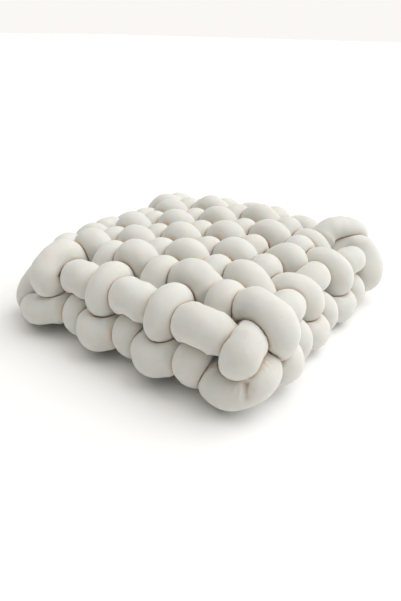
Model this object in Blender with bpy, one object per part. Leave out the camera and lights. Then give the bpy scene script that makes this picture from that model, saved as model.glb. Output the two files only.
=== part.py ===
# Knot cushion: a square floor cushion woven from sixteen fat stuffed tubes, metres, +Z up.
# Eight tubes run along X and eight run along Y. Each is a closed ring: it weaves over and under
# the tubes it crosses on the top, turns round the edge and weaves back along the underside.
# Every crossing squashes both tubes against each other, halfway between their centre lines.

import math

import bpy
import bmesh
import numpy as np

# --- driving dimensions, metres -------------------------------------------------------------
TUBES = 8                    # tubes in each direction
SPACING = 0.061              # from one tube to the next
TUBE_RADIUS = 0.0275         # of a tube where nothing squashes it
ALONG_FATTER = 0.07          # the tubes along X are fatter by this share, those across thinner
TOP_HEIGHT = 0.041           # of the woven top over the middle plane, at the edges
TOP_LIFT = 0.021             # how far a tube rises or dips at a crossing of the top
ALONG_OVER = 0.003           # on the top the tubes along X lie this much higher, those across lower
TOP_CROWN = 0.24             # the middle of the top stands this share higher than its edges
BASE_DEPTH = 0.026           # of the woven underside below the middle plane
BASE_LIFT = 0.016
FLOOR_DEPTH = 0.062          # the tubes are pressed flat here, where the cushion rests
CLEARANCE = 0.0055           # between two tubes that touch
MIDDLE_REACH = 0.25          # from the middle of the cushion to its sides, for the crown

# How a tube goes round the edge of the cushion: the reach of its centre line from the middle,
# and its height over the middle plane. A tube that is outside at its last crossing of the top
# is inside at its first crossing of the underside, and the other way round.
EDGE_TURN = {
    # place: (reach, height)
    "outside_top": (0.211, 0.052),
    "outside_turn": (0.237, 0.033),
    "inside_base": (0.218, -0.006),
    "inside_top": (0.192, 0.029),
    "inside_turn": (0.250, -0.014),
    "outside_base": (0.201, -0.042),
}

# The two outermost tubes of each direction lie along the sides of the cushion.
SIDE_RUN = {
    # place: (reach, height)
    "outside_top": (0.228, 0.042),
    "inside_top": (0.202, 0.020),
    "outside_base": (0.261, -0.018),
    "inside_base": (0.201, -0.011),
}

# The ends of those outermost tubes turn round a corner.
CORNER_TURN = {
    # place: (reach along the tube, reach across it, height)
    "outside_top": (0.183, 0.216, 0.035),
    "outside_turn": (0.230, 0.215, 0.019),
    "inside_base": (0.189, 0.210, -0.031),
    "inside_top": (0.212, 0.188, 0.001),
    "inside_turn": (0.250, 0.212, -0.008),
    "outside_base": (0.211, 0.246, -0.033),
}

# A stuffed thing is never quite square: how far each corner and side is pushed outwards and
# lifted, at the top and at the base.
UNEVENNESS = (
    # place, x, y, out at the top, out at the base, lift of the top, lift of the base
    ("left corner", -1, -1, -0.012, 0.010, 0.007, 0.000),
    ("front corner", 1, -1, 0.040, 0.006, 0.020, 0.007),
    ("right corner", 1, 1, 0.031, -0.011, -0.004, -0.012),
    ("back corner", -1, 1, 0.027, 0.016, -0.004, 0.000),
    ("front left side", 0, -1, 0.013, -0.001, 0.015, 0.002),
    ("front right side", 1, 0, -0.001, -0.008, -0.003, -0.008),
    ("back left side", -1, 0, -0.001, 0.006, 0.000, 0.000),
    ("back right side", 0, 1, 0.025, 0.012, 0.008, 0.000),
)
UNEVEN_REACH = 0.224         # from the middle to the places of that table
UNEVEN_SPREAD = 0.083        # how far the push of one place spreads
TOP_TO_BASE = 0.016          # height over which the top's push turns into the base's

# Places that were pulled out of line by hand when the corners were closed. A place is a crossing
# of the top or the base, numbered from 1 along the tube, or the turn at its low or high end.
PULLED = (
    # tube, place, shift along X, Y and Z
    ("along_1", "turn low", -0.002, -0.017, -0.031),
    ("along_1", "base 1", -0.033, -0.024, 0.000),
    ("along_1", "base 2", -0.012, -0.003, 0.001),
    ("along_1", "top 2", -0.015, -0.006, 0.006),
    ("across_1", "top 1", 0.000, 0.014, -0.003),
    ("across_1", "turn low", 0.012, 0.062, -0.006),
    ("across_1", "base 1", 0.045, 0.045, 0.002),
    ("across_2", "top 1", -0.015, -0.008, 0.012),
    ("across_2", "turn low", -0.014, -0.025, 0.014),
    ("across_7", "top 2", 0.000, -0.008, 0.000),
    ("across_8", "top 1", -0.007, 0.000, -0.002),
    ("across_8", "top 2", -0.003, -0.012, 0.006),
    ("across_8", "turn low", 0.005, -0.001, 0.002),
    ("along_1", "turn high", -0.005, -0.004, 0.002),
    ("along_2", "top 8", -0.017, -0.005, 0.003),
    ("along_2", "turn high", 0.005, -0.020, 0.017),
    ("along_3", "top 7", -0.012, 0.004, -0.007),
    ("along_5", "top 7", 0.015, 0.006, -0.006),
    ("along_4", "top 8", 0.000, -0.012, -0.006),
    ("along_6", "top 8", -0.014, -0.002, -0.005),
    ("along_7", "top 8", -0.017, -0.007, -0.002),
    ("along_7", "top 7", -0.007, -0.008, -0.012),
    ("across_8", "top 5", -0.008, -0.002, 0.004),
    ("across_7", "top 8", 0.002, -0.010, 0.016),
    ("across_7", "turn high", 0.035, 0.028, 0.015),
    ("along_8", "top 8", 0.009, 0.014, 0.002),
    ("along_8", "turn high", 0.022, -0.001, -0.017),
    ("along_8", "base 8", -0.001, 0.020, 0.010),
    ("across_8", "top 8", -0.007, -0.005, 0.000),
    ("across_8", "turn high", 0.003, 0.002, 0.019),
    ("across_8", "base 8", -0.007, 0.019, 0.001),
    ("across_1", "top 8", -0.002, 0.005, 0.016),
    ("across_1", "turn high", -0.002, 0.007, 0.018),
    ("along_8", "top 2", 0.000, 0.000, -0.006),
    ("along_7", "top 1", 0.000, 0.000, 0.004),
    ("across_1", "top 6", -0.004, 0.000, -0.003),
    ("along_5", "top 1", 0.002, 0.000, -0.005),
    ("across_1", "top 4", -0.005, -0.002, 0.009),
    ("across_1", "top 2", -0.003, 0.000, 0.004),
)

# --- mesh fineness ----------------------------------------------------------------------------
SECTIONS = 64                # along a ring
SECTION_SIDES = 8            # round a section
LINE_STEPS = 1600            # fine steps along a centre line when it is divided evenly
NEIGHBOUR_STEPS = 160        # points of a centre line that its neighbours are squashed against
SQUASH_STEPS = 14            # halvings in the search for the squashed radius
TIGHT_BEND = 0.85            # share of the bend's own radius that a section may fill
OWN_WAY = 0.095              # a tube can press on itself beyond this way along it

PLUSH_COLOUR = (0.80, 0.77, 0.70, 1.0)
PLUSH_ROUGHNESS = 0.95


def crossing(tube, column):
    """Centre line points where a tube crosses a column, numbered from 0: on the top, on the base."""
    middle = (TUBES - 1) / 2
    across = (tube - middle) * SPACING
    along = (column - middle) * SPACING
    side = 1 if column > middle else -1
    at_end = column in (0, TUBES - 1)
    at_side = tube == 0
    points = []
    for layer, height, lift, up in (("top", TOP_HEIGHT, TOP_LIFT, 1),
                                    ("base", BASE_DEPTH, BASE_LIFT, -1)):
        outside = (tube + column) % 2 == (0 if up > 0 else 1)
        place = ("outside_" if outside else "inside_") + layer
        if at_side and at_end:
            reach, reach_across, level = CORNER_TURN[place]
            points.append((side * reach, -reach_across, level))
        elif at_side:
            reach, level = SIDE_RUN[place]
            points.append((along, -reach, level))
        elif at_end:
            reach, level = EDGE_TURN[place]
            points.append((side * reach, across, level))
        else:
            level = height + (lift if outside else -lift)
            points.append((along, across, up * level))
    return points


def turn(tube, side):
    """Centre line point where a tube is furthest out, between its top and its base crossing."""
    column = TUBES - 1 if side > 0 else 0
    outside = (tube + column) % 2 == 0
    place = "outside_turn" if outside else "inside_turn"
    if tube == 0:
        reach, reach_across, level = CORNER_TURN[place]
        return (side * reach, -reach_across, level)
    reach, level = EDGE_TURN[place]
    return (side * reach, (tube - (TUBES - 1) / 2) * SPACING, level)


def ring_knots(tube):
    """The points that one ring passes through: along the top, round, back along the base."""
    columns = [crossing(tube, column) for column in range(TUBES)]
    top = [points[0] for points in columns]
    base = [points[1] for points in reversed(columns)]
    return np.array(top + [turn(tube, 1)] + base + [turn(tube, -1)])


def knot_number(place, quarters):
    """Where a named place comes among the points of a ring turned by so many right angles."""
    kind, where = place.split()
    forwards = quarters < 2
    if kind == "turn":
        return TUBES if (where == "high") == forwards else 2 * TUBES + 1
    column = int(where) - 1 if forwards else TUBES - int(where)
    return column if kind == "top" else 2 * TUBES - column


def placed_knots(direction, number, tube, quarters):
    """A ring's points turned to its place in the weave, with those pulled that the table names."""
    knots = quarter_turned(ring_knots(tube), quarters)
    if tube > 0:
        knots[1:TUBES - 1, 2] += ALONG_OVER if direction == "along" else -ALONG_OVER
    for name, place, *shift in PULLED:
        if name == f"{direction}_{number}":
            knots[knot_number(place, quarters)] += shift
    return knots


def smooth_closed_line(knots, count):
    """A closed smooth cubic spline through the knots, at evenly spaced points."""
    gaps = np.linalg.norm(np.roll(knots, -1, axis=0) - knots, axis=1) ** 0.75
    total = len(knots)
    matrix = np.zeros((total, total))
    right = np.zeros((total, 3))
    for i in range(total):
        before, after = gaps[i - 1], gaps[i]
        matrix[i, i - 1] += before
        matrix[i, i] += 2 * (before + after)
        matrix[i, (i + 1) % total] += after
        right[i] = 6 * ((knots[(i + 1) % total] - knots[i]) / after
                        - (knots[i] - knots[i - 1]) / before)
    bends = np.linalg.solve(matrix, right)
    starts = np.concatenate([[0], np.cumsum(gaps)])
    where = np.linspace(0, starts[-1], LINE_STEPS, endpoint=False)
    piece = np.searchsorted(starts, where, side="right") - 1
    following = (piece + 1) % total
    gap = gaps[piece][:, None]
    ahead = where[:, None] - starts[piece][:, None]
    behind = gap - ahead
    line = (bends[piece] * behind ** 3 + bends[following] * ahead ** 3) / (6 * gap)
    line += (knots[piece] / gap - bends[piece] * gap / 6) * behind
    line += (knots[following] / gap - bends[following] * gap / 6) * ahead
    steps = np.linalg.norm(np.roll(line, -1, axis=0) - line, axis=1)
    walked = np.concatenate([[0], np.cumsum(steps)])
    wanted = (np.arange(count) + 0.5) / count * walked[-1]
    closed = np.vstack([line, line[:1]])
    return np.stack([np.interp(wanted, walked, closed[:, axis]) for axis in range(3)], axis=1)


def quarter_turned(points, quarters):
    """The points turned about Z by a number of right angles."""
    for _ in range(quarters % 4):
        points = np.stack([-points[:, 1], points[:, 0], points[:, 2]], axis=1)
    return points


def crowned(points):
    """The top raised towards the middle of the cushion."""
    x = np.clip(points[:, 0] / MIDDLE_REACH, -1, 1)
    y = np.clip(points[:, 1] / MIDDLE_REACH, -1, 1)
    rise = 1 + TOP_CROWN * (1 - x ** 2) * (1 - y ** 2)
    heights = np.where(points[:, 2] > 0, points[:, 2] * rise, points[:, 2])
    return np.column_stack([points[:, :2], heights])


def made_uneven(points):
    """Corners and sides pushed and lifted as the table says."""
    moved = points.copy()
    top_share = 1 / (1 + np.exp(-points[:, 2] / TOP_TO_BASE))
    for _, x, y, out_top, out_base, lift_top, lift_base in UNEVENNESS:
        away = (points[:, 0] - x * UNEVEN_REACH) ** 2 + (points[:, 1] - y * UNEVEN_REACH) ** 2
        near = np.exp(-away / (2 * UNEVEN_SPREAD ** 2))
        push = near * (out_top * top_share + out_base * (1 - top_share)) / math.hypot(x, y)
        moved[:, 0] += x * push
        moved[:, 1] += y * push
        moved[:, 2] += near * (lift_top * top_share + lift_base * (1 - top_share))
    return moved


def centre_lines(count):
    """Every ring's centre line by node name; four rings turned by quarters give all sixteen."""
    lines = {}
    for tube in range(TUBES // 2):
        places = (("along", tube + 1, 0), ("along", TUBES - tube, 2),
                  ("across", TUBES - tube, 1), ("across", tube + 1, 3))
        for direction, number, quarters in places:
            knots = placed_knots(direction, number, tube, quarters)
            line = made_uneven(crowned(smooth_closed_line(knots, count)))
            lines[f"tube_{direction}_{number}"] = line
    return lines


def section_directions(line, direction):
    """Unit vectors from each centre point to the corners of its section."""
    tangents = np.roll(line, -1, axis=0) - np.roll(line, 1, axis=0)
    tangents /= np.linalg.norm(tangents, axis=1)[:, None]
    sideways = np.array([0.0, 1.0, 0.0] if direction == "along" else [-1.0, 0.0, 0.0])
    outward = np.cross(tangents, sideways)
    outward /= np.linalg.norm(outward, axis=1)[:, None]
    beside = np.cross(tangents, outward)
    angles = (np.arange(SECTION_SIDES) + 0.5) * 2 * math.pi / SECTION_SIDES
    return (np.cos(angles)[None, :, None] * outward[:, None, :]
            + np.sin(angles)[None, :, None] * beside[:, None, :])


def beyond_own_way(line, steps):
    """For each section, which points of the ring's own centre line it may press on."""
    length = np.linalg.norm(np.roll(line, -1, axis=0) - line, axis=1).sum()
    places = (np.arange(len(line)) + 0.5) / len(line) * length
    own_places = (np.arange(steps) + 0.5) / steps * length
    way = np.abs(places[:, None] - own_places[None, :])
    return np.minimum(way, length - way) > OWN_WAY


def nearest_distances(points, others, allowed):
    """Distance from each point to the nearest centre point that it may press on."""
    squares = (points ** 2).sum(axis=1)[:, None] + (others ** 2).sum(axis=1)[None, :]
    squares -= 2 * points @ others.T
    squares = np.where(allowed, squares, np.inf)
    return np.sqrt(np.clip(squares.min(axis=1), 0, None))


def squashed_radii(line, directions, others, allowed, free_radius):
    """Radius in each direction, cut off halfway to the nearest neighbour."""
    shape = directions.shape[:2]
    low = np.zeros(shape)
    high = np.full(shape, free_radius)
    allowed = np.repeat(allowed, SECTION_SIDES, axis=0)
    for _ in range(SQUASH_STEPS):
        middle = (low + high) / 2
        points = (line[:, None, :] + middle[..., None] * directions).reshape(-1, 3)
        own_side = middle < nearest_distances(points, others, allowed).reshape(shape) - CLEARANCE
        low = np.where(own_side, middle, low)
        high = np.where(own_side, high, middle)
    return (low + high) / 2


def kept_off_the_bend(line, directions, radii):
    """Radii on the inner side of a tight bend, kept within the bend's own radius."""
    steps = np.linalg.norm(np.roll(line, -1, axis=0) - line, axis=1).mean()
    bend = (np.roll(line, -1, axis=0) + np.roll(line, 1, axis=0) - 2 * line) / steps ** 2
    inwards = (directions * bend[:, None, :]).sum(axis=2)
    limit = TIGHT_BEND / np.maximum(inwards, TIGHT_BEND / TUBE_RADIUS)
    return np.minimum(radii, limit)


def ring_vertices(name, lines, neighbour_lines):
    """Corner points of every section of one ring, flat on the floor where it rests."""
    line = lines[name]
    direction = name.split("_")[1]
    directions = section_directions(line, direction)
    others = np.concatenate([other for key, other in neighbour_lines.items() if key != name])
    allowed = np.ones((len(line), len(others)), dtype=bool)
    allowed = np.hstack([allowed, beyond_own_way(line, NEIGHBOUR_STEPS)])
    others = np.vstack([others, neighbour_lines[name]])
    free_radius = TUBE_RADIUS * (1 + (ALONG_FATTER if direction == "along" else -ALONG_FATTER))
    radii = squashed_radii(line, directions, others, allowed, free_radius)
    radii = kept_off_the_bend(line, directions, radii)
    points = line[:, None, :] + radii[..., None] * directions
    points[..., 2] = np.maximum(points[..., 2], -FLOOR_DEPTH)
    return points


def lofted_ring(name, points, material, collection):
    """A closed ring lofted through its unlike sections."""
    shape = bmesh.new()
    sections = [[shape.verts.new(point) for point in section] for section in points.tolist()]
    for i, section in enumerate(sections):
        following = sections[(i + 1) % len(sections)]
        for j in range(SECTION_SIDES):
            k = (j + 1) % SECTION_SIDES
            shape.faces.new((section[j], section[k], following[k], following[j]))
    bmesh.ops.triangulate(shape, faces=shape.faces[:], quad_method="SHORT_EDGE")
    bmesh.ops.recalc_face_normals(shape, faces=shape.faces[:])
    mesh = bpy.data.meshes.new(name)
    shape.to_mesh(mesh)
    shape.free()
    mesh.shade_smooth()
    mesh.materials.append(material)
    ring = bpy.data.objects.new(name, mesh)
    collection.objects.link(ring)
    return ring


def plush_material():
    """Cream plush: pale, matt and not metallic."""
    material = bpy.data.materials.new("cream_plush")
    material.use_nodes = True
    surface = material.node_tree.nodes["Principled BSDF"]
    surface.inputs["Base Color"].default_value = PLUSH_COLOUR
    surface.inputs["Roughness"].default_value = PLUSH_ROUGHNESS
    surface.inputs["Metallic"].default_value = 0.0
    material.diffuse_color = PLUSH_COLOUR
    return material


def build_cushion():
    for thing in list(bpy.data.objects):
        bpy.data.objects.remove(thing)
    collection = bpy.data.collections.new("knot_cushion")
    bpy.context.scene.collection.children.link(collection)
    material = plush_material()
    lines = centre_lines(SECTIONS)
    neighbour_lines = centre_lines(NEIGHBOUR_STEPS)
    rings = {name: ring_vertices(name, lines, neighbour_lines) for name in sorted(lines)}
    corners = np.concatenate([points.reshape(-1, 3) for points in rings.values()])
    low, high = corners.min(axis=0), corners.max(axis=0)
    origin = np.array([(low[0] + high[0]) / 2, (low[1] + high[1]) / 2, low[2]])
    for name, points in rings.items():
        lofted_ring(name, points - origin, material, collection)


build_cushion()
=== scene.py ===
import math

import bpy
import numpy as np
from mathutils import Matrix, Vector


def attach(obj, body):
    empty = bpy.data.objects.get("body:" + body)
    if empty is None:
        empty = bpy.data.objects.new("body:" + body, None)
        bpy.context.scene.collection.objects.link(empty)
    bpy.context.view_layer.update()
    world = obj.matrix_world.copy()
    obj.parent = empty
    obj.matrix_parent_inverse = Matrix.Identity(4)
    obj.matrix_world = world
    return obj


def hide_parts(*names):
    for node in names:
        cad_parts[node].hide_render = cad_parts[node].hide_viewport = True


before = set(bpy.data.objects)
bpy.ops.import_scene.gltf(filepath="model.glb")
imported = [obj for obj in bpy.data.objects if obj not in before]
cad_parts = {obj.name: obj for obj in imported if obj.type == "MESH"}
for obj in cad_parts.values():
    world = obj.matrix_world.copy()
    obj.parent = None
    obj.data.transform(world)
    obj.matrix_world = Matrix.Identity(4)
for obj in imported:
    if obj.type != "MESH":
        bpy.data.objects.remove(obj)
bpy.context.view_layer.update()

# The weave. All in metres; a height is over the middle plane of the cushion.
weave = dict(
    tubes=8,             # in each direction
    spacing=0.061,       # from one tube to the next
    topHeight=0.041,
    topLift=0.021,       # rise or dip of a tube at a crossing of the top
    alongOver=0.003,     # the tubes along X lie this much higher, those across lower
    topCrown=0.24,       # the middle of the top stands this share higher
    baseDepth=0.026,
    baseLift=0.016,
    floorDepth=0.062,    # where the cushion rests
    middleReach=0.25,
    middle=(0.0010, 0.0077, -0.062),  # from the weave's own middle to the frame's zero
)

# Going round the edge: reach of the centre line from the middle, and its height. This table and the
# three after it are matched to the photograph as well.
edgeTurn = {
    "outsideTop": (0.211, 0.052),
    "outsideTurn": (0.237, 0.033),
    "insideBase": (0.218, -0.006),
    "insideTop": (0.192, 0.029),
    "insideTurn": (0.250, -0.014),
    "outsideBase": (0.201, -0.042),
}

# The outermost tubes, lying along the sides.
sideRun = {
    "outsideTop": (0.228, 0.042),
    "insideTop": (0.202, 0.020),
    "outsideBase": (0.261, -0.018),
    "insideBase": (0.201, -0.011),
}

# Their ends, turning round a corner: reach along the tube, reach across it, height.
cornerTurn = {
    "outsideTop": (0.183, 0.216, 0.035),
    "outsideTurn": (0.230, 0.215, 0.019),
    "insideBase": (0.189, 0.210, -0.031),
    "insideTop": (0.212, 0.188, 0.001),
    "insideTurn": (0.250, 0.212, -0.008),
    "outsideBase": (0.211, 0.246, -0.033),
}

# A stuffed thing is never square: x, y, out at the top, out at the base, lift of the top and of the base.
unevenness = {
    "leftCorner": (-1, -1, -0.012, 0.010, 0.007, 0.000),
    "frontCorner": (1, -1, 0.040, 0.006, 0.020, 0.007),
    "rightCorner": (1, 1, 0.031, -0.011, -0.004, -0.012),
    "backCorner": (-1, 1, 0.027, 0.016, -0.004, 0.000),
    "frontLeftSide": (0, -1, 0.013, -0.001, 0.015, 0.002),
    "frontRightSide": (1, 0, -0.001, -0.008, -0.003, -0.008),
    "backLeftSide": (-1, 0, -0.001, 0.006, 0.000, 0.000),
    "backRightSide": (0, 1, 0.025, 0.012, 0.008, 0.000),
}
unevenReach = 0.224      # from the middle to those places
unevenSpread = 0.083     # how far the push of one place spreads
topToBase = 0.016        # height over which the top's push turns into the base's

# Places that lie out of line, mostly where a corner is closed: x, y, height. They are matched to the
# photograph, to the millimetre.
pulled = {
    ("along_1", "turn low"): (-0.002, -0.017, -0.031),  # left corner
    ("along_1", "base 1"): (-0.033, -0.024, 0.000),
    ("along_1", "base 2"): (-0.012, -0.003, 0.001),
    ("along_1", "top 2"): (-0.015, -0.006, 0.006),
    ("across_1", "top 1"): (0.000, 0.014, -0.003),
    ("across_1", "turn low"): (0.012, 0.062, -0.006),
    ("across_1", "base 1"): (0.045, 0.045, 0.002),
    ("across_2", "top 1"): (-0.015, -0.008, 0.012),
    ("across_2", "turn low"): (-0.014, -0.025, 0.014),
    ("across_7", "top 2"): (0.000, -0.008, 0.000),      # front left side
    ("across_8", "top 1"): (-0.007, 0.000, -0.002),     # front corner
    ("across_8", "top 2"): (-0.003, -0.012, 0.006),
    ("across_8", "turn low"): (0.005, -0.001, 0.002),
    ("along_1", "turn high"): (-0.005, -0.004, 0.002),
    ("along_2", "top 8"): (-0.017, -0.005, 0.003),
    ("along_2", "turn high"): (0.005, -0.020, 0.017),
    ("along_3", "top 7"): (-0.012, 0.004, -0.007),      # front right side
    ("along_5", "top 7"): (0.015, 0.006, -0.006),
    ("along_4", "top 8"): (0.000, -0.012, -0.006),
    ("along_6", "top 8"): (-0.014, -0.002, -0.005),
    ("along_7", "top 8"): (-0.017, -0.007, -0.002),
    ("along_7", "top 7"): (-0.007, -0.008, -0.012),
    ("across_8", "top 5"): (-0.008, -0.002, 0.004),
    ("across_7", "top 8"): (0.002, -0.010, 0.016),      # right corner
    ("across_7", "turn high"): (0.035, 0.028, 0.015),
    ("along_8", "top 8"): (0.009, 0.014, 0.002),
    ("along_8", "turn high"): (0.022, -0.001, -0.017),
    ("along_8", "base 8"): (-0.001, 0.020, 0.010),
    ("across_8", "top 8"): (-0.007, -0.005, 0.000),
    ("across_8", "turn high"): (0.003, 0.002, 0.019),
    ("across_8", "base 8"): (-0.007, 0.019, 0.001),
    ("across_1", "top 8"): (-0.002, 0.005, 0.016),      # back corner
    ("across_1", "turn high"): (-0.002, 0.007, 0.018),
    ("along_8", "top 2"): (0.000, 0.000, -0.006),
    ("along_7", "top 1"): (0.000, 0.000, 0.004),
    ("across_1", "top 6"): (-0.004, 0.000, -0.003),     # back left side
    ("along_5", "top 1"): (0.002, 0.000, -0.005),
    ("across_1", "top 4"): (-0.005, -0.002, 0.009),
    ("across_1", "top 2"): (-0.003, 0.000, 0.004),
}

# How a tube is stuffed and how fine its mesh is.
stuffing = dict(
    radius=0.0265,       # of a tube that nothing squashes
    alongFatter=0.07,    # the tubes along X are fatter by this share, those across thinner
    sections=480,        # along a ring
    sides=48,            # round a section
    rounds=24,           # of swelling and settling against the neighbours
    gap=0.0005,          # left between two tubes that touch
    ownWay=0.095,        # a tube can press on itself beyond this way along it
    swell=(0.90, 1.22),  # most it swells to, in free radii: held by its neighbours, not held
    freeShare=0.42,      # of its round for a section to count as free
    flow=30,             # how far the filling moves along a tube, away from the squashed places
    soften=0.35,         # share of each round's smoothing
    lips=0.0022,         # rounding where two tubes part
    lumps=0.0007,        # unevenness of the filling
    lumpLengths=(0.11, 0.075, 0.05, 0.034, 0.026),  # of its waves
    lumpWaves=3,         # of each length
    lumpFade=0.004,      # the lumps die away this near to a wall
    creaseReach=0.006,   # a surface this near to a wall is in a crease and gets painted crease shade
    tightBend=0.92,      # share of a bend's own radius that a section may fill
    farAway=3,           # radii, where no neighbour is in the way
    lookAround=1.3,      # neighbours are looked for this much further than two tubes reach
    passes=3,            # smoothing passes in a round
    press=1.01,          # the tube leans on its walls by this much before its lips are rounded
)

# How a centre line is drawn through its places.
lineSteps = 2400         # fine steps before it is divided evenly
slackening = 0.75        # power of a gap between two places, so that short gaps don't kink


def crossing(tube, column):
    middle = (weave["tubes"] - 1) / 2
    across = (tube - middle) * weave["spacing"]
    along = (column - middle) * weave["spacing"]
    side = 1 if column > middle else -1
    atEnd = column in (0, weave["tubes"] - 1)
    points = []
    for layer, height, lift, up in (("Top", weave["topHeight"], weave["topLift"], 1),
                                    ("Base", weave["baseDepth"], weave["baseLift"], -1)):
        outside = (tube + column) % 2 == (0 if up > 0 else 1)
        place = ("outside" if outside else "inside") + layer
        if tube == 0 and atEnd:
            reach, reachAcross, level = cornerTurn[place]
            points.append((side * reach, -reachAcross, level))
        elif tube == 0:
            reach, level = sideRun[place]
            points.append((along, -reach, level))
        elif atEnd:
            reach, level = edgeTurn[place]
            points.append((side * reach, across, level))
        else:
            points.append((along, across, up * (height + (lift if outside else -lift))))
    return points


def turnPoint(tube, side):
    column = weave["tubes"] - 1 if side > 0 else 0
    place = "outsideTurn" if (tube + column) % 2 == 0 else "insideTurn"
    if tube == 0:
        reach, reachAcross, level = cornerTurn[place]
        return (side * reach, -reachAcross, level)
    reach, level = edgeTurn[place]
    return (side * reach, (tube - (weave["tubes"] - 1) / 2) * weave["spacing"], level)


def ringKnots(tube):
    columns = [crossing(tube, column) for column in range(weave["tubes"])]
    top = [points[0] for points in columns]
    base = [points[1] for points in reversed(columns)]
    return np.array(top + [turnPoint(tube, 1)] + base + [turnPoint(tube, -1)])


def knotNumber(place, quarters):
    # where a named place comes among the points of its ring
    tubes = weave["tubes"]
    kind, where = place.split()
    forwards = quarters < 2
    if kind == "turn":
        return tubes if (where == "high") == forwards else 2 * tubes + 1
    column = int(where) - 1 if forwards else tubes - int(where)
    return column if kind == "top" else 2 * tubes - column


def tubeKnots(direction, number, tube, quarters):
    tubes = weave["tubes"]
    knots = quarterTurned(ringKnots(tube), quarters)
    if tube > 0:
        knots[1:tubes - 1, 2] += weave["alongOver"] * (1 if direction == "along" else -1)
    for (name, place), shift in pulled.items():
        if name == f"{direction}_{number}":
            knots[knotNumber(place, quarters)] += shift
    return knots


def closedLine(knots, count):
    # a closed cubic spline through the knots, at even distances
    gaps = np.linalg.norm(np.roll(knots, -1, axis=0) - knots, axis=1) ** slackening
    total = len(knots)
    matrix = np.zeros((total, total))
    right = np.zeros((total, 3))
    for i in range(total):
        before, after = gaps[i - 1], gaps[i]
        matrix[i, i - 1] += before
        matrix[i, i] += 2 * (before + after)
        matrix[i, (i + 1) % total] += after
        right[i] = 6 * ((knots[(i + 1) % total] - knots[i]) / after
                        - (knots[i] - knots[i - 1]) / before)
    bends = np.linalg.solve(matrix, right)
    starts = np.concatenate([[0], np.cumsum(gaps)])
    where = np.linspace(0, starts[-1], lineSteps, endpoint=False)
    piece = np.searchsorted(starts, where, side="right") - 1
    following = (piece + 1) % total
    gap = gaps[piece][:, None]
    ahead = where[:, None] - starts[piece][:, None]
    behind = gap - ahead
    line = (bends[piece] * behind ** 3 + bends[following] * ahead ** 3) / (6 * gap)
    line += (knots[piece] / gap - bends[piece] * gap / 6) * behind
    line += (knots[following] / gap - bends[following] * gap / 6) * ahead
    return evenly(line, count)


def evenly(line, count):
    stepLengths = np.linalg.norm(np.roll(line, -1, axis=0) - line, axis=1)
    walked = np.concatenate([[0], np.cumsum(stepLengths)])
    wanted = (np.arange(count) + 0.5) / count * walked[-1]
    closed = np.vstack([line, line[:1]])
    return np.stack([np.interp(wanted, walked, closed[:, axis]) for axis in range(3)], axis=1)


def quarterTurned(points, quarters):
    for _ in range(quarters % 4):
        points = np.stack([-points[:, 1], points[:, 0], points[:, 2]], axis=1)
    return points


def crowned(points):
    x = np.clip(points[:, 0] / weave["middleReach"], -1, 1)
    y = np.clip(points[:, 1] / weave["middleReach"], -1, 1)
    rise = 1 + weave["topCrown"] * (1 - x ** 2) * (1 - y ** 2)
    heights = np.where(points[:, 2] > 0, points[:, 2] * rise, points[:, 2])
    return np.column_stack([points[:, :2], heights])


def madeUneven(points):
    moved = points.copy()
    topShare = 1 / (1 + np.exp(-points[:, 2] / topToBase))
    for x, y, outTop, outBase, liftTop, liftBase in unevenness.values():
        away = (points[:, 0] - x * unevenReach) ** 2 + (points[:, 1] - y * unevenReach) ** 2
        near = np.exp(-away / (2 * unevenSpread ** 2))
        push = near * (outTop * topShare + outBase * (1 - topShare)) / math.hypot(x, y)
        moved[:, 0] += x * push
        moved[:, 1] += y * push
        moved[:, 2] += near * (liftTop * topShare + liftBase * (1 - topShare))
    return moved


def centreLines(count):
    tubes = weave["tubes"]
    lines = {}
    for tube in range(tubes // 2):
        for direction, number, quarters in (("along", tube + 1, 0), ("along", tubes - tube, 2),
                                            ("across", tubes - tube, 1), ("across", tube + 1, 3)):
            ring = closedLine(tubeKnots(direction, number, tube, quarters), count)
            lines[f"tube_{direction}_{number}"] = evenly(madeUneven(crowned(ring)), count)
    return lines


def sectionDirections(line, direction):
    sides = stuffing["sides"]
    tangents = np.roll(line, -1, axis=0) - np.roll(line, 1, axis=0)
    tangents /= np.linalg.norm(tangents, axis=1)[:, None]
    sideways = np.array([0.0, 1.0, 0.0] if direction == "along" else [-1.0, 0.0, 0.0])
    outward = np.cross(tangents, sideways)
    outward /= np.linalg.norm(outward, axis=1)[:, None]
    beside = np.cross(tangents, outward)
    angles = (np.arange(sides) + 0.5) * 2 * math.pi / sides
    return (np.cos(angles)[None, :, None] * outward[:, None, :]
            + np.sin(angles)[None, :, None] * beside[:, None, :])


def freeRadius(name):
    # of a tube that nothing squashes
    fatter = stuffing["alongFatter"] * (1 if "along" in name else -1)
    return stuffing["radius"] * (1 + fatter)


def contactDistances(name, lines, directions):
    # along each direction, how far it is to the wall between this tube and a neighbour, which may be
    # the same tube on its way back; the fatter of two tubes pushes the wall away a little
    line = lines[name]
    count = len(line)
    apart = int(stuffing["ownWay"] / np.linalg.norm(line[1] - line[0]))
    others = np.concatenate([lines[key][::2] for key in lines if key != name])
    push = np.concatenate([np.full(len(lines[key][::2]), freeRadius(name) ** 2 - freeRadius(key) ** 2)
                           for key in lines if key != name])
    far = stuffing["farAway"] * stuffing["radius"]
    within = 2 * stuffing["radius"] * stuffing["swell"][1] * stuffing["lookAround"]
    reach = np.full(directions.shape[:2], far)
    for i, point in enumerate(line):
        own = line[(i + np.arange(apart, count - apart, 2)) % count]
        offsets = np.concatenate([others, own]) - point
        pushes = np.concatenate([push, np.zeros(len(own))])
        squares = (offsets ** 2).sum(axis=1)
        near = squares < within ** 2
        if not near.any():
            continue
        facing = directions[i] @ offsets[near].T
        walls = (squares + pushes)[near] / (2 * np.maximum(facing, 1e-6))
        reach[i] = np.where(facing > 1e-6, walls, far).min(axis=1)
    return np.minimum(reach, far)


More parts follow.
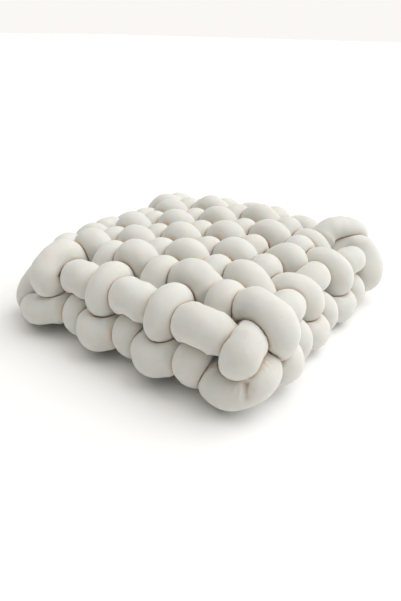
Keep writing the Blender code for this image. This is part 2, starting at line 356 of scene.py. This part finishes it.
def bendLimits(line, directions):
    # a tight bend leaves less room on its inner side
    step = np.linalg.norm(np.roll(line, -1, axis=0) - line, axis=1).mean()
    bend = (np.roll(line, -1, axis=0) + np.roll(line, 1, axis=0) - 2 * line) / step ** 2
    inwards = (directions * bend[:, None, :]).sum(axis=2)
    fills = stuffing["tightBend"]
    return fills / np.maximum(inwards, fills / (2 * stuffing["radius"]))


def softMinimum(first, second, width):
    mix = np.clip(0.5 + 0.5 * (second - first) / width, 0, 1)
    return second * (1 - mix) + first * mix - width * mix * (1 - mix)


def blurred(values, axis):
    return (np.roll(values, 1, axis=axis) + 2 * values + np.roll(values, -1, axis=axis)) / 4


def swollen(walls, radius):
    # the tube swells until its section holds its filling, and settles against the walls
    wanted = math.pi * radius ** 2
    wedge = math.sin(2 * math.pi / stuffing["sides"]) / 2      # area between two sides of a section
    held, free = stuffing["swell"]
    openShare = (walls > radius * free).mean(axis=1) / stuffing["freeShare"]
    for _ in range(stuffing["flow"]):
        openShare = blurred(np.clip(openShare, 0, 1), 0)
    most = radius * (held + (free - held) * openShare)[:, None]
    radii = np.minimum(walls, radius)
    for _ in range(stuffing["rounds"]):
        smooth = radii
        for _ in range(stuffing["passes"]):
            smooth = blurred(blurred(smooth, 0), 1)
        radii = radii + stuffing["soften"] * (smooth - radii)
        area = (radii * np.roll(radii, -1, axis=1)).sum(axis=1) * wedge
        for _ in range(stuffing["flow"]):
            area = blurred(area, 0)
        growth = np.sqrt(wanted / area)
        radii = radii * growth[:, None]
        radii = np.minimum(np.minimum(radii, most), walls)
    return softMinimum(radii * stuffing["press"], walls, stuffing["lips"])


def fillingLumps(points, seed):
    # slow, slight unevenness of the filling: a few crossing waves
    dice = np.random.default_rng(seed)
    lumps = np.zeros(points.shape[:2])
    for length in stuffing["lumpLengths"]:
        for _ in range(stuffing["lumpWaves"]):
            heading = dice.normal(size=3)
            heading /= np.linalg.norm(heading)
            phase = dice.uniform(0, 2 * math.pi)
            wave = np.sin(points @ heading * 2 * math.pi / length + phase)
            lumps += wave * (length / stuffing["lumpLengths"][0]) ** 0.5
    return lumps / stuffing["lumpWaves"]


def tubeShape(name, lines, number):
    line = lines[name]
    directions = sectionDirections(line, name.split("_")[1])
    walls = contactDistances(name, lines, directions) - stuffing["gap"] / 2
    walls = np.minimum(walls, bendLimits(line, directions))
    radii = swollen(walls, freeRadius(name))
    points = line[:, None, :] + radii[..., None] * directions
    fade = np.clip((walls - radii) / stuffing["lumpFade"], 0, 1)
    radii = radii + stuffing["lumps"] * fillingLumps(points, number) * fade
    points = line[:, None, :] + radii[..., None] * directions
    points[..., 2] = np.maximum(points[..., 2], -weave["floorDepth"])
    # how far down in a crease the surface lies: the material paints a warmer, darker shade there
    closeness = np.clip(1 - (walls - radii) / stuffing["creaseReach"], 0, 1)
    return points - np.array(weave["middle"]), closeness


# Folds pressed into the cover where a tube turns tightly: both ends on its surface, depth, half width.
folds = {
    "tube_along_1": (
        ((0.261, -0.277, 0.074), (0.266, -0.282, 0.048), 0.0120, 0.0052),
        ((0.253, -0.284, 0.065), (0.251, -0.288, 0.051), 0.0018, 0.0032),
        ((0.243, -0.285, 0.066), (0.242, -0.290, 0.053), 0.0014, 0.0036),
        ((0.269, -0.276, 0.069), (0.275, -0.275, 0.057), 0.0018, 0.0034),
    ),
}
foldFade = 0.75          # share of its depth that a fold loses towards its end
foldShade = 0.006        # a fold this deep gets the full painted crease shade


def finer(values, axis):
    # one more section, or one more point round, between each two, on a cubic through four of them
    middles = (9 * (values + np.roll(values, -1, axis=axis))
               - np.roll(values, 1, axis=axis) - np.roll(values, -2, axis=axis)) / 16
    both = np.stack([values, middles], axis=axis + 1)
    shape = list(values.shape)
    shape[axis] *= 2
    return both.reshape(shape)


def folded(name, points, closeness):
    for axis in (0, 1):
        points, closeness = finer(points, axis), finer(closeness, axis)
    inwards = points.mean(axis=1, keepdims=True) - points
    inwards /= np.linalg.norm(inwards, axis=2, keepdims=True)
    for start, end, depth, width in folds[name]:
        start, way = np.array(start), np.array(end) - np.array(start)
        share = np.clip((points - start) @ way / (way @ way), 0, 1)
        away = np.linalg.norm(points - start - share[..., None] * way, axis=2)
        press = np.exp(-(away / width) ** 2) * (1 - foldFade * share ** 2)
        points = points + (depth * press)[..., None] * inwards
        # the fold gets painted crease shade as well
        closeness = np.maximum(closeness, press * min(depth / foldShade, 1))
    return points, closeness


def tubeMesh(name, points, closeness):
    sections, sides = points.shape[:2]
    index = np.arange(sections * sides).reshape(sections, sides)
    after = np.roll(index, -1, axis=0)
    faces = np.stack([index, np.roll(index, -1, axis=1), np.roll(after, -1, axis=1), after], axis=-1)
    mesh = bpy.data.meshes.new(name)
    mesh.from_pydata(points.reshape(-1, 3).tolist(), [], faces.reshape(-1, 4).tolist())
    mesh.shade_smooth()
    # mask for the painted crease shade
    paintedCreaseShade = mesh.attributes.new("paintedCreaseShade", "FLOAT", "POINT")
    paintedCreaseShade.data.foreach_set("value", closeness.reshape(-1).astype(np.float32))
    return mesh


# The cover: a short dense plush, cream, with a warmer, darker painted shade down in the creases.
plush = dict(
    cream=(0.69, 0.692, 0.654, 1.0),
    shade=(0.651, 0.633, 0.579, 1.0),    # where the nap lies the other way
    # painted shade: the warm, darker colour put into the creases in place of the light that falls off
    # there
    paintedCreaseShade=(0.78, 0.60, 0.46, 1.0),
    roughness=0.93,
    specular=0.15,
    sheen=0.25,
    sheenRoughness=0.55,
    throughLight=0.55,                   # light that passes through the pile into the creases
    throughReach=(0.014, 0.009, 0.006),
    creaseShare=0.75,                    # share of the painted crease shade, right down in a crease
    creasePower=2.2,                     # how quickly it comes up again
    brushed=dict(scale=17.0, detail=3.0, low=0.38, high=0.62),    # slow clouds of brushed nap
    brushedShare=0.35,
    patches=dict(scale=95.0, detail=2.0, low=0.45, high=0.70),    # finger-wide pressed spots
    patchShare=0.30,
    nap=dict(scale=1300.0, detail=2.0, low=0.2, high=0.8),        # the nap itself
    fuzz=dict(scale=420.0, detail=2.0, low=0.2, high=0.8),
    napStrength=0.35,
    napDepth=0.0005,
)


def plushMaterial():
    material = bpy.data.materials.new("creamPlush")
    material.use_nodes = True
    nodes, links = material.node_tree.nodes, material.node_tree.links
    surface = nodes["Principled BSDF"]
    surface.inputs["Roughness"].default_value = plush["roughness"]
    surface.inputs["Sheen Weight"].default_value = plush["sheen"]
    surface.inputs["Sheen Roughness"].default_value = plush["sheenRoughness"]
    surface.inputs["Specular IOR Level"].default_value = plush["specular"]
    surface.inputs["Subsurface Weight"].default_value = plush["throughLight"]
    surface.inputs["Subsurface Radius"].default_value = plush["throughReach"]
    surface.inputs["Subsurface Scale"].default_value = 1.0

    place = nodes.new("ShaderNodeTexCoord")

    def cloud(scale, detail, low, high):
        # noise between two levels, stretched to 0..1
        noise = nodes.new("ShaderNodeTexNoise")
        noise.inputs["Scale"].default_value = scale
        noise.inputs["Detail"].default_value = detail
        links.new(place.outputs["Object"], noise.inputs["Vector"])
        stretch = nodes.new("ShaderNodeMapRange")
        stretch.inputs["From Min"].default_value = low
        stretch.inputs["From Max"].default_value = high
        links.new(noise.outputs["Fac"], stretch.inputs["Value"])
        return stretch.outputs["Result"]

    def mixed(first, second, factor):
        mix = nodes.new("ShaderNodeMix")
        mix.data_type = "RGBA"
        sockets = [i for i in mix.inputs if i.type == "RGBA"]
        for value, socket in zip((first, second), sockets):
            if isinstance(value, tuple):
                socket.default_value = value
            else:
                links.new(value, socket)
        links.new(factor, mix.inputs["Factor"])
        return [o for o in mix.outputs if o.type == "RGBA"][0]

    def times(value, factor, power=1.0):
        raised = nodes.new("ShaderNodeMath")
        raised.operation = "POWER"
        links.new(value, raised.inputs[0])
        raised.inputs[1].default_value = power
        scaled = nodes.new("ShaderNodeMath")
        scaled.operation = "MULTIPLY"
        links.new(raised.outputs[0], scaled.inputs[0])
        scaled.inputs[1].default_value = factor
        return scaled.outputs[0]

    brushed = times(cloud(**plush["brushed"]), plush["brushedShare"])
    patches = times(cloud(**plush["patches"]), plush["patchShare"])
    colour = mixed(plush["cream"], plush["shade"], brushed)
    colour = mixed(colour, plush["shade"], patches)
    # painted shade: creases are mixed towards a warmer, darker colour
    paintedCreaseShade = nodes.new("ShaderNodeAttribute")
    paintedCreaseShade.attribute_name = "paintedCreaseShade"
    deep = times(paintedCreaseShade.outputs["Fac"], plush["creaseShare"], plush["creasePower"])
    colour = mixed(colour, plush["paintedCreaseShade"], deep)
    links.new(colour, surface.inputs["Base Color"])

    nap = cloud(**plush["nap"])
    fuzz = cloud(**plush["fuzz"])
    height = nodes.new("ShaderNodeMath")
    height.operation = "ADD"
    links.new(nap, height.inputs[0])
    links.new(fuzz, height.inputs[1])
    bump = nodes.new("ShaderNodeBump")
    bump.inputs["Strength"].default_value = plush["napStrength"]
    bump.inputs["Distance"].default_value = plush["napDepth"]
    links.new(height.outputs[0], bump.inputs["Height"])
    links.new(bump.outputs["Normal"], surface.inputs["Normal"])
    return material


material = plushMaterial()
lines = centreLines(stuffing["sections"])
print("centre lines laid")
for number, name in enumerate(sorted(lines)):
    points, closeness = tubeShape(name, lines, number)
    if name in folds:
        points, closeness = folded(name, points, closeness)
    tube = bpy.data.objects.new("plush_" + name, tubeMesh("plush_" + name, points, closeness))
    bpy.context.scene.collection.objects.link(tube)
    tube.data.materials.append(material)
    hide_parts(name)
    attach(tube, "root")
print("tubes made")

# Studio: a white floor that runs into a white wall far behind, soft light from above, and one soft key
# light from the right and from behind. Heights in the sky run from 0, level, to 1, straight up.
studio = dict(
    floorSize=80.0,
    floorColour=(0.93, 0.925, 0.915, 1.0),
    floorRoughness=0.9,
    floorSpecular=0.1,
    wallGlow=0.96,                   # the white wall all round, low over the floor
    wallTop=(0.05, 0.16),            # heights where it starts to fade and where it ends
    skyGlow=(0.16, 1.50),            # the soft light from above: just over the walls, right overhead
    skyReach=(0.55, 1.00),           # heights where it starts and where it is full
    skyColour=(1.0, 0.975, 0.945, 1.0),
    keyStrength=2.1,
    keyWidth=60,                     # degrees, how soft the key light is
    keyFrom=(0.52, 0.46, 0.72),      # the way to it from the cushion
    keyColour=(0.985, 0.995, 1.0),
)


def floorMaterial():
    paper = bpy.data.materials.new("paleFloor")
    paper.use_nodes = True
    surface = paper.node_tree.nodes["Principled BSDF"]
    surface.inputs["Base Color"].default_value = studio["floorColour"]
    surface.inputs["Roughness"].default_value = studio["floorRoughness"]
    surface.inputs["Specular IOR Level"].default_value = studio["floorSpecular"]
    return paper


def skyWorld():
    sky = bpy.data.worlds.new("studioSky")
    sky.use_nodes = True
    nodes, links = sky.node_tree.nodes, sky.node_tree.links
    direction = nodes.new("ShaderNodeTexCoord")
    parts = nodes.new("ShaderNodeSeparateXYZ")
    links.new(direction.outputs["Generated"], parts.inputs["Vector"])

    def rise(heights, glow):
        # a soft step of the glow between two heights
        step = nodes.new("ShaderNodeMapRange")
        step.interpolation_type = "SMOOTHSTEP"
        step.inputs["From Min"].default_value, step.inputs["From Max"].default_value = heights
        step.inputs["To Min"].default_value, step.inputs["To Max"].default_value = glow
        links.new(parts.outputs["Z"], step.inputs["Value"])
        return step

    above = rise(studio["skyReach"], studio["skyGlow"])
    wall = rise(studio["wallTop"], (studio["wallGlow"], studio["skyGlow"][0]))
    links.new(above.outputs["Result"], wall.inputs["To Max"])
    links.new(wall.outputs["Result"], nodes["Background"].inputs["Strength"])
    nodes["Background"].inputs["Color"].default_value = studio["skyColour"]
    return sky


bpy.ops.mesh.primitive_plane_add(size=studio["floorSize"], location=(0, 0, 0))
floor = bpy.context.object
floor.name = "studioFloor"
floor.data.materials.append(floorMaterial())
bpy.context.scene.world = skyWorld()


def keyLight():
    key = bpy.data.lights.new("keyLight", "SUN")
    key.energy = studio["keyStrength"]
    key.angle = math.radians(studio["keyWidth"])
    key.color = studio["keyColour"]
    holder = bpy.data.objects.new("keyLight", key)
    holder.rotation_euler = (-Vector(studio["keyFrom"])).to_track_quat("-Z", "Y").to_euler()
    bpy.context.scene.collection.objects.link(holder)


keyLight()
print("floor and lights ready")

# The camera stands where the photograph was taken from.
photographer = dict(
    azimuth=34.7, elevation=25.3, roll=1.2,      # degrees
    distance=1.050,                              # from the weave's middle, metres
    focal=518, centre=(203.0, 275.3), frame=(401, 601),      # pixels
    sensorWidth=36,                              # millimetres
    nearest=0.05,                                # metres
)


def photographersCamera():
    azimuth = math.radians(photographer["azimuth"])
    elevation = math.radians(photographer["elevation"])
    roll = math.radians(photographer["roll"])
    back = Vector((math.sin(azimuth) * math.cos(elevation), -math.cos(azimuth) * math.cos(elevation),
                   math.sin(elevation)))
    level = Vector((math.cos(azimuth), math.sin(azimuth), 0))
    upright = back.cross(level)
    right = level * math.cos(roll) + upright * math.sin(roll)
    up = -level * math.sin(roll) + upright * math.cos(roll)
    place = back * photographer["distance"] - Vector(weave["middle"])

    lens = bpy.data.cameras.new("photographersCamera")
    wide, high = photographer["frame"]
    lens.sensor_width = photographer["sensorWidth"]
    lens.lens = photographer["sensorWidth"] * photographer["focal"] / high
    lens.shift_x = (wide / 2 - photographer["centre"][0]) / high
    lens.shift_y = (photographer["centre"][1] - high / 2) / high
    lens.clip_start = photographer["nearest"]
    camera = bpy.data.objects.new("photographersCamera", lens)
    bpy.context.scene.collection.objects.link(camera)
    camera.matrix_world = Matrix(((right.x, up.x, back.x, place.x), (right.y, up.y, back.y, place.y),
                                  (right.z, up.z, back.z, place.z), (0, 0, 0, 1)))
    return camera


bpy.context.scene.camera = photographersCamera()
bpy.context.scene.view_settings.view_transform = "Standard"
print("camera ready")
